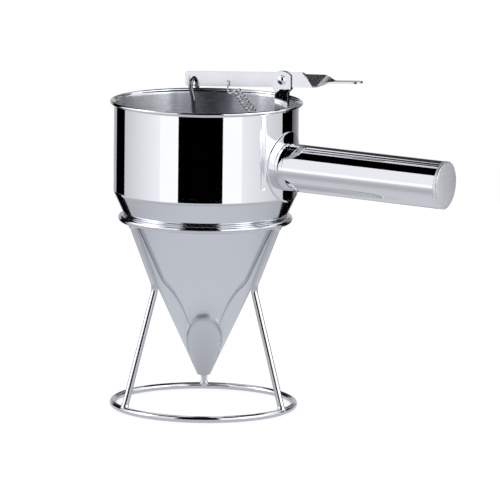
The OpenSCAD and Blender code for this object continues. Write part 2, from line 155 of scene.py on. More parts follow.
def addPiece(name, bm, materials, node, body, place=None, sheet=False):
    if place:
        bmesh.ops.transform(bm, matrix=place, verts=bm.verts)
    for face in bm.faces:
        face.smooth = True
    mesh = bpy.data.meshes.new(name)
    bm.to_mesh(mesh)
    bm.free()
    mesh.set_sharp_from_angle(angle=math.radians(32))
    for look in materials:
        mesh.materials.append(steel[look])
    piece = bpy.data.objects.new(name, mesh)
    scene.collection.objects.link(piece)
    if sheet:
        weighted = piece.modifiers.new("flatSides", "WEIGHTED_NORMAL")
        weighted.keep_sharp = True
    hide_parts(node)
    if body:
        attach(piece, body)
    return piece


# Grain is the number of noise cells per metre along x, y and z.
finishes = {
    "mirror": {"color": (0.865, 0.872, 0.895), "grain": (60, 60, 900), "rough": (0.015, 0.04),
               "streak": 0.015, "bump": 0.02, "depth": 0.001},
    "spun": {"color": (0.80, 0.815, 0.85), "grain": (20, 20, 1900), "rough": (0.24, 0.32),
             "streak": 0.10, "bump": 0.04, "depth": 0.003, "anisotropy": 1.0, "turn": 0.25},
    # the cone's inside: the spun finish with a much darker colour, painted shade inside the funnel
    "coneInside": {"color": (0.42, 0.43, 0.46), "grain": (20, 20, 1900), "rough": (0.30, 0.38),
                   "streak": 0.08, "bump": 0.05, "depth": 0.004},
    "satin": {"color": (0.82, 0.835, 0.87), "grain": (420, 420, 60), "rough": (0.07, 0.12),
              "streak": 0.03, "bump": 0.05, "depth": 0.003},
    "cap": {"color": (0.96, 0.965, 0.98), "grain": (900, 900, 90), "rough": (0.46, 0.56),
            "streak": 0.04, "bump": 0.1, "depth": 0.005},
    "strip": {"color": (0.80, 0.805, 0.825), "grain": (60, 1500, 1500), "rough": (0.18, 0.27),
              "streak": 0.05, "bump": 0.06, "depth": 0.003},
    "plunger": {"color": (0.82, 0.83, 0.85), "grain": (500, 500, 60), "rough": (0.03, 0.07),
                "streak": 0.03, "bump": 0.05, "depth": 0.002},
    "rod": {"color": (0.22, 0.225, 0.24), "grain": (500, 500, 60), "rough": (0.04, 0.08),
            "streak": 0.03, "bump": 0.05, "depth": 0.002},
    "spring": {"color": (0.92, 0.925, 0.94), "grain": (500, 500, 500), "rough": (0.30, 0.40),
               "streak": 0.05, "bump": 0.05, "depth": 0.002},
    "cheek": {"color": (0.70, 0.71, 0.735), "grain": (60, 1500, 1500), "rough": (0.05, 0.09),
              "streak": 0.05, "bump": 0.05, "depth": 0.002},
    "wire": {"color": (0.80, 0.805, 0.825), "grain": (400, 400, 80), "rough": (0.09, 0.14),
             "streak": 0.03, "bump": 0.04, "depth": 0.002},
}


def makeSteel(name, look):
    material = bpy.data.materials.new(name)
    material.use_nodes = True
    nodes, links = material.node_tree.nodes, material.node_tree.links
    nodes.clear()
    output = nodes.new("ShaderNodeOutputMaterial")
    shader = nodes.new("ShaderNodeBsdfPrincipled")
    shader.inputs["Metallic"].default_value = 1
    shader.inputs["Anisotropic"].default_value = look.get("anisotropy", 0)
    shader.inputs["Anisotropic Rotation"].default_value = look.get("turn", 0)
    links.new(shader.outputs["BSDF"], output.inputs["Surface"])

    place = nodes.new("ShaderNodeTexCoord")
    stretch = nodes.new("ShaderNodeMapping")
    stretch.inputs["Scale"].default_value = look["grain"]
    links.new(place.outputs["Object"], stretch.inputs["Vector"])
    grain = nodes.new("ShaderNodeTexNoise")
    grain.inputs["Scale"].default_value = 1
    grain.inputs["Detail"].default_value = 4
    grain.inputs["Roughness"].default_value = 0.6
    links.new(stretch.outputs["Vector"], grain.inputs["Vector"])

    haze = nodes.new("ShaderNodeTexNoise")  # broad, faint differences in the polish
    haze.inputs["Scale"].default_value = 35
    haze.inputs["Detail"].default_value = 3
    links.new(place.outputs["Object"], haze.inputs["Vector"])

    tint = nodes.new("ShaderNodeMix")
    tint.data_type = "RGBA"
    tint.inputs["A"].default_value = (*[c * (1 - look["streak"]) for c in look["color"]], 1)
    tint.inputs["B"].default_value = (*look["color"], 1)
    links.new(grain.outputs["Fac"], tint.inputs["Factor"])
    links.new(tint.outputs["Result"], shader.inputs["Base Color"])

    both = nodes.new("ShaderNodeMix")
    both.inputs["Factor"].default_value = 0.5
    links.new(grain.outputs["Fac"], both.inputs["A"])
    links.new(haze.outputs["Fac"], both.inputs["B"])
    rough = nodes.new("ShaderNodeMapRange")
    rough.inputs["From Min"].default_value = 0.3
    rough.inputs["From Max"].default_value = 0.7
    rough.inputs["To Min"].default_value, rough.inputs["To Max"].default_value = look["rough"]
    links.new(both.outputs["Result"], rough.inputs["Value"])
    links.new(rough.outputs["Result"], shader.inputs["Roughness"])

    bump = nodes.new("ShaderNodeBump")
    bump.inputs["Strength"].default_value = look["bump"]
    bump.inputs["Distance"].default_value = look["depth"] * mm
    links.new(grain.outputs["Fac"], bump.inputs["Height"])
    links.new(bump.outputs["Normal"], shader.inputs["Normal"])
    return material


steel = {name: makeSteel(name + "Steel", look) for name, look in finishes.items()}
print("steel finishes made")

cup = {
    "radius": 62.5, "height": 61.2, "wall": 0.8, "shoulder": 5, "bead": 1.2, "beadOut": 1.6,
    "steps": 288,
}
cone = {"angle": 24.8, "tipRadius": 4.35, "wall": 0.8, "tipEdge": 0.15, "steps": 288}
groove = {
    "angle": -24.8, "halfWidth": 1.75, "foot": 156.8, "soft": 0.11, "depth": 0.3, "corner": 0.9,
    "topDrop": 2.2, "reach": 3.2, "columns": 56, "rows": 24, "rowStep": 0.2, "rowsBelow": 2,
    "topRows": (1.2, 0.6, 0.2), "sideMargin": 0.015, "topMargin": 0.3, "margin": 0.1, "slack": 1.001,
}

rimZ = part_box("cup")[1].z / mm - cup["bead"]
cornerZ = rimZ - cup["height"]
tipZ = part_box("cone")[0].z / mm
coneOut = Vector((math.cos(math.radians(cone["angle"])), -math.sin(math.radians(cone["angle"]))))
shoulderAt = Vector((cup["radius"] - cup["shoulder"],
                     cornerZ + cup["shoulder"] * math.tan(math.radians(cone["angle"] / 2))))


def coneRadius(z):
    return cone["tipRadius"] + (z - tipZ) * math.tan(math.radians(cone["angle"]))


def meetAngles(lower, upper, apart):
    # the left crossing of two circles, one straight above the other, as its angle on each
    return (90 + math.degrees(math.acos((lower ** 2 + apart ** 2 - upper ** 2) / 2 / lower / apart)),
            270 - math.degrees(math.acos((upper ** 2 + apart ** 2 - lower ** 2) / 2 / upper / apart)))


def cupProfile():
    c, half = cup, cup["wall"] / 2
    lip = c["beadOut"] + half
    lipAt = (c["radius"] + c["beadOut"], rimZ - lip)
    beadAt = (c["radius"] + c["beadOut"], rimZ)
    outer, beadFrom = meetAngles(lip - half, c["bead"], lip)
    inner, beadTo = meetAngles(lip + half, c["bead"], lip)
    return (
        arcPoints(shoulderAt, c["shoulder"], -cone["angle"], 0, 10)
        + arcPoints(lipAt, lip - half, 180, outer, 6)
        + arcPoints(beadAt, c["bead"], beadFrom, beadTo + 360, 30)[1:-1]
        + arcPoints(lipAt, lip + half, inner, 180, 6)
        + arcPoints(shoulderAt, c["shoulder"] - c["wall"], 0, -cone["angle"], 10))


def cutGroove(bm):
    # a narrow strip of the outer wall, pressed in a little from the rim down to a rounded foot
    g, reach = groove, groove["reach"] / cup["radius"]
    middle, top = math.radians(g["angle"]), rimZ - g["topDrop"]

    def turnFrom(point):
        return (math.atan2(point.y, point.x) - middle + math.pi) % (2 * math.pi) - math.pi

    def onWall(point):
        return (abs(turnFrom(point)) < reach + g["sideMargin"]
                and shoulderAt.y - g["margin"] < point.z / mm < top + g["topMargin"]
                and point.xy.length > (cup["radius"] - g["margin"]) * mm)

    patch = [f for f in bm.faces if onWall(f.calc_center_median())]
    patch += partsOf(patch, "edges") + partsOf(patch, "verts")
    turns = [middle + reach * (2 * i / g["columns"] - 1) for i in range(g["columns"] + 1)]
    cuts = [((0, 0, 0), (-math.sin(t), math.cos(t), 0)) for t in turns]
    heights = [g["foot"] - g["rowsBelow"] + g["rowStep"] * i for i in range(g["rows"])]
    heights += [top - drop for drop in g["topRows"]]
    cuts += [((0, 0, z * mm), (0, 0, 1)) for z in heights]
    for place, normal in cuts:
        patch = bmesh.ops.bisect_plane(bm, geom=patch, dist=1e-7, plane_co=place,
                                       plane_no=normal)["geom"]
    for v in bm.verts:
        if not onWall(v.co) or abs(turnFrom(v.co)) > reach * g["slack"]:
            continue
        side, rise = abs(turnFrom(v.co)) * cup["radius"], v.co.z / mm - g["foot"]
        inside = g["halfWidth"] - side
        if rise < g["corner"]:
            inside = g["corner"] - math.hypot(max(0, g["corner"] - inside), g["corner"] - rise)
        fade = min(1, max(0, top - v.co.z / mm))
        radius = cup["radius"] - g["depth"] * fade / (1 + math.exp(-inside / g["soft"]))
        v.co.xy = v.co.xy.normalized() * radius * mm


def makeCup():
    bm = spinProfile(cupProfile(), cup["steps"])
    inside = (cup["radius"] - cup["wall"] / 2) * mm
    for face in bm.faces:
        away = face.calc_center_median().xy
        if away.length < inside and face.normal.xy.dot(away) < 0:
            face.material_index = 1
    cutGroove(bm)
    addPiece("cup_shell", bm, ["mirror", "spun"], "cup", "funnel")


def makeCone():
    c = cone
    slope, edge = math.tan(math.radians(c["angle"])), c["tipEdge"]
    seam = shoulderAt + cup["shoulder"] * coneOut
    bm = spinProfile([
        seam, (c["tipRadius"] + edge * slope, tipZ + edge), (c["tipRadius"] - edge, tipZ),
        (c["tipRadius"] - c["wall"] / math.cos(math.radians(c["angle"])), tipZ),
        seam - c["wall"] * coneOut], c["steps"])
    # faces inside the cone take the darker finish, painted shade
    for face in bm.faces:
        if face.normal.xy.dot(face.calc_center_median().xy) < 0:
            face.material_index = 1
    addPiece("cone_shell", bm, ["satin", "coneInside"], "cone", "funnel")


makeCup()
makeCone()
print("cup and cone made")

# The handle's axis meets the cup's axis "drop" under the rim and points down by "droop".
handle = {
    "radius": 16, "wall": 0.8, "length": 116.5, "drop": 37.6, "droop": 1.7, "flange": 24,
    "flangeThick": 1, "flangeEdge": 0.4, "flangeLift": 0.02, "backRings": 24, "faceRings": 10,
    "collar": 1.5, "collarInset": 0.2, "collarOver": 3, "edge": 0.12, "skirt": 3.1, "seam": 0.22,
    "dome": 0.8, "plug": 4, "plugGap": 0.02, "corner": 0.55, "steps": 192,
}
meetsZ = rimZ - handle["drop"]
flangeFace = cup["radius"] + handle["flangeThick"]
handleEnd = flangeFace + handle["length"]
onHandle = (Matrix.Translation((0, 0, meetsZ * mm))
            @ Matrix.Rotation(math.radians(90 + handle["droop"]), 4, "Y"))


def makeTube():
    h = handle
    start, end, inner = flangeFace + h["collar"], handleEnd - h["skirt"], h["radius"] - h["wall"]
    bm = spinProfile(
        [(inner, start), (h["radius"] - h["edge"], start), (h["radius"], start + h["edge"])]
        + arcPoints((h["radius"] - h["seam"], end - h["seam"]), h["seam"], 0, 90, 4)
        + [(inner, end)], h["steps"])
    addPiece("handle_barrel", bm, ["mirror"], "handle_tube", "funnel", onHandle)


def makeCap():
    h = handle
    edge = handleEnd - h["skirt"]
    domeBase = h["radius"] - h["corner"]
    domeRadius = (domeBase ** 2 + h["dome"] ** 2) / 2 / h["dome"]
    half = math.degrees(math.asin(domeBase / domeRadius))
    plug = h["radius"] - h["wall"] - h["plugGap"]
    bm = spinProfile(
        [(0, edge - h["plug"]), (plug, edge - h["plug"]), (plug, edge)]
        + arcPoints((h["radius"] - h["seam"], edge + h["seam"]), h["seam"], -90, 0, 4)
        + arcPoints((domeBase, handleEnd - h["dome"] - h["corner"]), h["corner"], 0, 90 - half, 6)
        + arcPoints((0, handleEnd - domeRadius), domeRadius, 90 - half, 90, 18)[1:],
        h["steps"], closed=False)
    for face in bm.faces:
        middle = face.calc_center_median() / mm
        if middle.xy.length > domeBase and middle.z > handleEnd - h["dome"] - h["corner"]:
            face.material_index = 1  # the polished corner round the face
    addPiece("handle_end_cap", bm, ["cap", "mirror"], "handle_cap", "funnel", onHandle)


def makeFlange():
    # a disc and its collar, spun flat and then laid round the cup
    h = handle
    low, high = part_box("handle_flange")
    rise = (low.z + high.z) / 2
    thick, edge = h["flangeThick"], h["flangeEdge"]
    collar, flat = h["radius"] - h["collarInset"], h["flange"] - edge
    top = thick + h["collar"] + h["collarOver"]
    profile = [(h["flange"] * i / h["backRings"], h["flangeLift"])
               for i in range(h["backRings"] + 1)]
    profile += arcPoints((flat, thick - edge), edge, 0, 90, 5)
    profile += [(flat + (collar - flat) * i / h["faceRings"], thick)
                for i in range(1, h["faceRings"] + 1)]
    profile += [(collar, top), (0, top)]
    bm = bmesh.new()
    verts = [bm.verts.new((r * mm, 0, z * mm)) for r, z in profile]
    fullTurn(bm, verts + [bm.edges.new(pair) for pair in zip(verts, verts[1:])], h["steps"])
    bmesh.ops.rotate(bm, cent=(0, 0, 0), matrix=Matrix.Rotation(math.pi / 2, 3, "Y"), verts=bm.verts)
    tubeStart = (flangeFace + h["collar"]) * mm
    for v in bm.verts:
        reach = math.sqrt((cup["radius"] * mm + v.co.x) ** 2 - v.co.y ** 2)
        v.co.x = min(reach, tubeStart - v.co.z * math.sin(math.radians(h["droop"])))
    bmesh.ops.translate(bm, vec=(0, 0, rise), verts=bm.verts)
    bmesh.ops.recalc_face_normals(bm, faces=bm.faces)
    addPiece("handle_saddle", bm, ["mirror"], "handle_flange", "funnel")


makeTube()
makeCap()
makeFlange()
print("handle made")

lever = {
    "height": 10, "thick": 1.2, "tilt": 3.3, "end": 5.9, "corner": 1.8, "edge": 0.15,
    "twistStart": 15.8, "twist": 22, "twistSteps": 12,
    "fold": 44, "crease": 1.2, "creases": ((18.8, -0.75), (27.2, 0.5)), "foldSteps": 4,
    "sinks": (0.3, 0.5), "pad": 21, "padDrop": 1.1, "padCorner": 4, "padSteps": 5,
    "hookArm": 67.667, "hookRadius": 3.2, "hookDrop": 0.95,
    "springArm": 40.6, "springRadius": 1.2, "springDrop": 1.5,
}
pivot = Vector(next(j for j in frame["joints"] if j["name"] == "lever_pivot")["pos_m"]) / mm
onLever = Matrix.Translation(pivot * mm) @ Matrix.Rotation(math.radians(-lever["tilt"]), 4, "Y")


def leverPoint(along, up):
    return onLever @ Vector((along * mm, 0, up * mm)) / mm


def outlineLoop(bm, points):
    verts = [bm.verts.new((x * mm, 0, z * mm)) for x, z in points]
    return [bm.edges.new(pair) for pair in zip(verts, verts[1:] + verts[:1])]


def sheetFrom(bm, edges, thick):
    # fills the outline and gives it this thickness, centred on y = 0
    filled = bmesh.ops.triangle_fill(bm, edges=edges, use_beauty=True, use_dissolve=False,
                                     normal=(0, -1, 0))["geom"]
    faces = [g for g in filled if isinstance(g, bmesh.types.BMFace)]
    faces = bmesh.ops.dissolve_limit(bm, angle_limit=0.01, verts=partsOf(faces, "verts"),
                                     edges=partsOf(faces, "edges"))["region"]
    front = partsOf(faces, "verts")
    made = bmesh.ops.extrude_face_region(bm, geom=faces)["geom"]
    back = [g for g in made if isinstance(g, bmesh.types.BMVert)]
    bmesh.ops.translate(bm, vec=(0, -thick / 2 * mm, 0), verts=front)
    bmesh.ops.translate(bm, vec=(0, thick / 2 * mm, 0), verts=back)
    bmesh.ops.recalc_face_normals(bm, faces=bm.faces)


def eased(t):
    return t * t * (3 - 2 * t)


def breakEdges(bm, size):
    sharp = [e for e in bm.edges if e.is_manifold and e.calc_face_angle() > math.radians(50)]
    bmesh.ops.bevel(bm, geom=sharp, offset=size * mm, affect="EDGES", segments=2, profile=0.5,
                    material=-1, clamp_overlap=True)
    bmesh.ops.recalc_face_normals(bm, faces=bm.faces)


def twistSections():
    # the strip is folded over along a slanting line, runs flat, and then twists into the pad
    v = lever
    padStart = v["twistStart"] + v["twist"]
    (lowAt, lowSlant), (highAt, highSlant) = v["creases"]
    lowSink, highSink = v["sinks"]
    marks = [(lowAt, lowSlant, 0, 0)]  # place, slant of the section, turn and share of the drop
    for i in range(1, v["foldSteps"] + 1):
        t = i / v["foldSteps"]
        marks.append((lowAt + v["crease"] * t, lowSlant, v["fold"] * eased(t), lowSink * eased(t)))
    marks.append((highAt, highSlant, v["fold"], highSink))
    for i in range(1, v["twistSteps"] + 1):
        t = i / v["twistSteps"]
        marks.append((highAt + (padStart - highAt) * t, highSlant * (1 - t),
                      v["fold"] + (90 - v["fold"]) * eased(t),
                      highSink + (1 - highSink) * eased(t)))
    sections = []
    for along, slant, turn, sink in marks:
        shear = Matrix.Identity(4)
        shear[0][2] = slant
        sections.append(Matrix.Translation((along * mm, 0, -v["padDrop"] * sink * mm))
                        @ Matrix.Rotation(math.radians(-turn), 4, "X") @ shear)
    return sections


def makeLever():
    v, half = lever, lever["height"] / 2
    left = -(v["hookArm"] + v["end"])
    bm = bmesh.new()
    edges = outlineLoop(bm, arcPoints((left + v["corner"], half - v["corner"]), v["corner"], 90, 180, 6)
                        + arcPoints((left + v["corner"], v["corner"] - half), v["corner"], 180, 270, 6)
                        + [(v["twistStart"], -half), (v["twistStart"], half)])
    for hole in ("hook", "spring"):
        edges += outlineLoop(bm, arcPoints((-v[hole + "Arm"], -v[hole + "Drop"]),
                                           v[hole + "Radius"], 0, 360, 48)[:-1])
    sheetFrom(bm, edges, v["thick"])
    end = max(bm.faces, key=lambda f: f.calc_center_median().x)
    before = Matrix.Translation((v["twistStart"] * mm, 0, 0))
    for section in twistSections():
        end = extrudeFace(bm, end, section @ before.inverted())
        before = section
    end = extrudeFace(bm, end, Matrix.Translation(((v["pad"] - v["padCorner"]) * mm, 0, 0)))
    for i in range(v["padSteps"]):
        (c0, s0), (c1, s1) = (radial(90 * k / v["padSteps"]) for k in (i, i + 1))
        wide = [half - v["padCorner"] * (1 - c) for c in (c0, c1)]
        end = extrudeFace(bm, end, Matrix.Translation((v["padCorner"] * (s1 - s0) * mm, 0, 0))
                          @ Matrix.Scale(wide[1] / wide[0], 4, (0, 1, 0)))
    breakEdges(bm, v["edge"])
    addPiece("lever_strip", bm, ["strip"], "lever", "lever", onLever, sheet=True)


bracket = {
    "thick": 1, "gap": 1.6, "neck": 8.7, "ear": 13.7, "rise": 6, "crown": 10, "drop": 6,
    "foot": 30.5, "webDrop": 6.83, "webOver": 0.1, "splay": 11, "bend": 0.5, "crease": 3,
    "flareFrom": 208, "flareTo": 192, "flareSteps": 8, "edge": 0.15,
}
wallX = math.sqrt((cup["radius"] - cup["wall"]) ** 2 - (bracket["gap"] / 2 + bracket["thick"]) ** 2)
webTop = pivot.z - bracket["webDrop"]


def bracketOutline():
    b = bracket
    low, inner, outer = pivot.z - b["drop"], pivot.x - b["ear"] / 2, pivot.x + b["ear"] / 2
    neck = wallX - b["neck"]
    crownAt = (pivot.x, pivot.z + b["rise"] - b["crown"])
    half = math.degrees(math.asin(b["ear"] / 2 / b["crown"]))
    return ([(neck, rimZ - b["foot"]), (wallX, rimZ - b["foot"]), (wallX, low - (outer - wallX)),
             (outer, low)] + arcPoints(crownAt, b["crown"], 90 - half, 90 + half, 16)
            + [(inner, low), (neck, low - (neck - inner))])


def makeBracket():
    # two cheeks, whose necks are spread below the ears, and the web that joins them
    b = bracket
    low, neck = pivot.z - b["drop"], wallX - b["neck"]
    crease = neck + b["crease"]
    bm = bmesh.new()
    sheetFrom(bm, outlineLoop(bm, bracketOutline()), b["thick"])
    cuts = [((0, 0, low - d), (0, 0, 1)) for d in (0, b["bend"])]
    cuts += [((crease, 0, low - d), (-1, 0, 1)) for d in (0, b["bend"] * math.sqrt(2))]
    flareStep = (b["flareTo"] - b["flareFrom"]) / b["flareSteps"]
    cuts += [((0, 0, b["flareFrom"] + flareStep * i), (0, 0, 1))
             for i in range(b["flareSteps"] + 1)]
    for place, normal in cuts:
        bmesh.ops.bisect_plane(bm, geom=bm.verts[:] + bm.edges[:] + bm.faces[:], dist=1e-7,
                               plane_co=Vector(place) * mm, plane_no=normal)
    for v in bm.verts:
        x, z = v.co.x / mm, v.co.z / mm
        under = min(low - z, (low - z - (crease - x)) / math.sqrt(2))
        flare = min(1, max(0, (z - b["flareTo"]) / (b["flareFrom"] - b["flareTo"])))
        spread = min(1, max(0, under / b["bend"])) * eased(flare)
        v.co.y -= spread * max(0, wallX - x) * math.tan(math.radians(b["splay"])) * mm
    bmesh.ops.translate(bm, vec=(0, -(b["gap"] + b["thick"]) / 2 * mm, 0), verts=bm.verts)
    breakEdges(bm, b["edge"])
    bmesh.ops.mirror(bm, geom=bm.verts[:] + bm.edges[:] + bm.faces[:], axis="Y", merge_dist=0)
    kneeZ, inside = low - (pivot.x + b["ear"] / 2 - wallX), wallX - b["thick"]
    sheetFrom(bm, outlineLoop(bm, [(inside, rimZ - b["foot"]), (wallX, rimZ - b["foot"]),
                                   (wallX, kneeZ), (wallX + webTop - kneeZ, webTop),
                                   (inside, webTop)]), b["gap"] + b["webOver"])
    bmesh.ops.recalc_face_normals(bm, faces=bm.faces)
    addPiece("lever_cheeks", bm, ["cheek"], "lever_bracket", "funnel", sheet=True)


rivet = {"shank": 1.5, "head": 3.25, "rise": 1.6, "brim": 0.55, "button": 2.1, "edge": 0.15,
         "slope": 0.35, "step": 0.1, "domeRadius": 3.4, "domeHalf": 38, "steps": 64}


def makeRivet():
    r, out = rivet, bracket["gap"] / 2 + bracket["thick"]
    profile = [(r["shank"], 0), (r["shank"], out), (r["head"], out), (r["head"], out + r["edge"]),
               (r["head"] - r["slope"], out + r["brim"]),
               (r["button"] + r["edge"], out + r["brim"] + r["step"])]
    profile += arcPoints((0, out + r["rise"] - r["domeRadius"]), r["domeRadius"],
                         90 - r["domeHalf"], 90, 8)
    bm = spinProfile(profile, r["steps"], closed=False)
    bmesh.ops.rotate(bm, cent=(0, 0, 0), matrix=Matrix.Rotation(math.pi / 2, 3, "X"), verts=bm.verts)
    bmesh.ops.mirror(bm, geom=bm.verts[:] + bm.edges[:] + bm.faces[:], axis="Y",
                     merge_dist=0.001 * mm)
    bmesh.ops.recalc_face_normals(bm, faces=bm.faces)
    addPiece("pivot_rivet_polished", bm, ["mirror"], "pivot_rivet", "funnel",
             Matrix.Translation(pivot * mm))


makeLever()
makeBracket()
makeRivet()
print("lever and bracket made")

spring = {
    "wire": 1.05, "outer": 6.6, "turns": 16.5, "top": 8.6, "foot": 8, "from": -60,
    "pinRadius": 1, "footGap": 0.15, "turnSteps": 20, "sides": 10, "hookStep": 15, "curveSteps": 8,
    "hookLean": 0.1, "lead": ((1, -2, -1.9), (3.1, -3, -2.1)), "ending": (2, 2.2, 0.6), "eyeLead": 3,
}
springAt = leverPoint(-lever["springArm"], -lever["springDrop"])
pinLow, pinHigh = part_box("spring_pin")
pinAt = (pinLow + pinHigh) / 2 / mm


def smoothCurve(points, steps):
    # passes through all points but the first and the last
    curve = []
    for a, b, c, d in zip(points, points[1:], points[2:], points[3:]):
        for t in (i / steps for i in range(steps)):
            curve.append(b + t * (c - a) / 2 + t * t * (a - 2.5 * b + 2 * c - d / 2)
                         + t ** 3 * (b * 1.5 - a / 2 - 1.5 * c + d / 2))
    return curve


def makeSpring():
    s = spring
    length = (pinAt - springAt).length
    along = (pinAt - springAt).normalized()
    upward = Vector((-along.z, 0, along.x))
    coil = (s["outer"] - s["wire"]) / 2
    hook = lever["thick"] / 2 + s["wire"]
    eye = s["pinRadius"] + s["footGap"] + s["wire"] / 2

    def inSpring(a, u, c):
        return springAt + along * a + upward * u + Vector((0, c, 0))

    def coilPoint(k):
        up, across = radial(s["from"] + 360 * s["turns"] * k)
        return inSpring(s["top"] + (length - s["top"] - s["foot"]) * k, coil * up, coil * across)

    def atHook(y, z, x=0):
        return springAt + Vector((x, y, z))

    low = lever["springDrop"] - lever["height"] / 2 - 2 * s["wire"]
    eighth = 1 / 8 / s["turns"]
    path = [atHook(hook, -hook - d * s["wire"]) for d in (2, 1)]
    path += [atHook(y, z - hook) for y, z in arcPoints((0, 0), hook, 0, 180, 180 // s["hookStep"])]
    path += smoothCurve(
        [atHook(-hook, -hook), atHook(-hook, -hook - s["wire"]), atHook(-hook, low, -s["hookLean"])]
        + [atHook(y, low + z, x) for x, y, z in s["lead"]] + [coilPoint(0), coilPoint(eighth)],
        s["curveSteps"])
    count = round(s["turns"] * s["turnSteps"])
    path += [coilPoint(i / count) for i in range(count + 1)]
    past, up, across = s["ending"]
    path += smoothCurve([
        coilPoint(1 - eighth), coilPoint(1), inSpring(length - s["foot"] + past, up, across),
        inSpring(length - s["eyeLead"], eye, 0), inSpring(length, eye, 0)], s["curveSteps"])[1:]
    path += [inSpring(length + a, u, 0)
             for a, u in arcPoints((0, 0), eye, 90, -150, 240 // s["hookStep"])]
    piece = addPiece("return_spring_wire", sweepWire(path, s["wire"], s["sides"]), ["spring"],
                     "return_spring", None)
    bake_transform(piece)


makeSpring()
print("spring made")

plunger = {
    "rod": 3, "foot": 28.8, "straight": 39.8, "hook": 9.6, "hookX": -9.8, "bendDrop": 8.7,
    "slant": 14, "footBend": 60, "bendRadius": 14, "neckRadius": 5, "neckDrop": 1.2,
    "tail": 217.46, "sides": 24, "hookStep": 6,
}


def makeRod():
    p, half = plunger, plunger["hook"] / 2
    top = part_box("plunger_rod")[1].z / mm - p["rod"] / 2
    hookZ = top - half
    bend = Vector((p["hookX"] + p["bendDrop"] * math.tan(math.radians(p["slant"])), -half,
                   hookZ - p["bendDrop"]))
    neck = Vector((p["hookX"], -half, hookZ - p["neckDrop"]))
    path = roundedPath([(0, 0, p["foot"]), (0, 0, p["straight"]), bend, neck,
                        (p["hookX"], -half, hookZ)], [p["footBend"], p["bendRadius"], p["neckRadius"]])
    path += [Vector((p["hookX"], y, z))
             for y, z in arcPoints((0, hookZ), half, 180, 0, 180 // p["hookStep"])[1:]]
    path.append(Vector((p["hookX"], half, p["tail"])))
    addPiece("plunger_rod_bent", sweepWire(heldPoints(path, wireNear), p["rod"], p["sides"]),
             ["rod"], "plunger_rod", "plunger")


makeRod()
for node in ("spring_pin", "plunger_stopper"):
    mesh = frame["nodes"][node].data
    mesh.materials.clear()
    mesh.materials.append(steel["plunger"])
print("plunger made")

stand = {
    "wire": 4.5, "kneeDrop": 45.2, "kneeGap": 4.8, "kneeRadius": 12, "steps": 288, "sides": 24,
    "bendStep": 3, "weld": 2.75, "weldLong": 1.4, "weldAt": 1.6,
    "legs": {"stand_leg_right": -3, "stand_leg_front_left": -123, "stand_leg_back_left": 117},
}


def ringOf(node):
    low, high = (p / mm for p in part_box(node))
    return (high.x - low.x) / 2 - stand["wire"] / 2, (low.z + high.z) / 2


def makeStand():
    s = stand
    rings = {node: ringOf(node) for node in ("stand_top_ring", "stand_base_ring")}
    for node, (radius, height) in rings.items():
        addPiece(node + "_wire", wireRing(radius, height, s["wire"], s["steps"], s["sides"]),
                 ["wire"], node, "stand")
    (topR, topZ), (footR, footZ) = rings.values()
    kneeZ = topZ - s["kneeDrop"]
    knee = Vector((coneRadius(kneeZ) + s["kneeGap"], 0, kneeZ))
    top, foot = Vector((topR, 0, topZ)), Vector((footR, 0, footZ))
    path = heldPoints(roundedPath([foot, knee, top], [s["kneeRadius"]], s["bendStep"]), wireNear)
    for node, angle in s["legs"].items():
        bm = sweepWire(path, s["wire"], s["sides"])
        for end in (top, foot):  # the swelling of each weld
            along = (knee - end).normalized()
            bmesh.ops.create_uvsphere(
                bm, u_segments=20, v_segments=12, radius=s["weld"] * mm,
                matrix=Matrix.Translation((end + along * s["weldAt"]) * mm)
                @ along.to_track_quat("Z", "Y").to_matrix().to_4x4()
                @ Matrix.Scale(s["weldLong"], 4, (0, 0, 1)))
        addPiece(node + "_wire", bm, ["wire"], node, "stand",
                 Matrix.Rotation(math.radians(angle), 4, "Z"))


makeStand()
print("stand made")

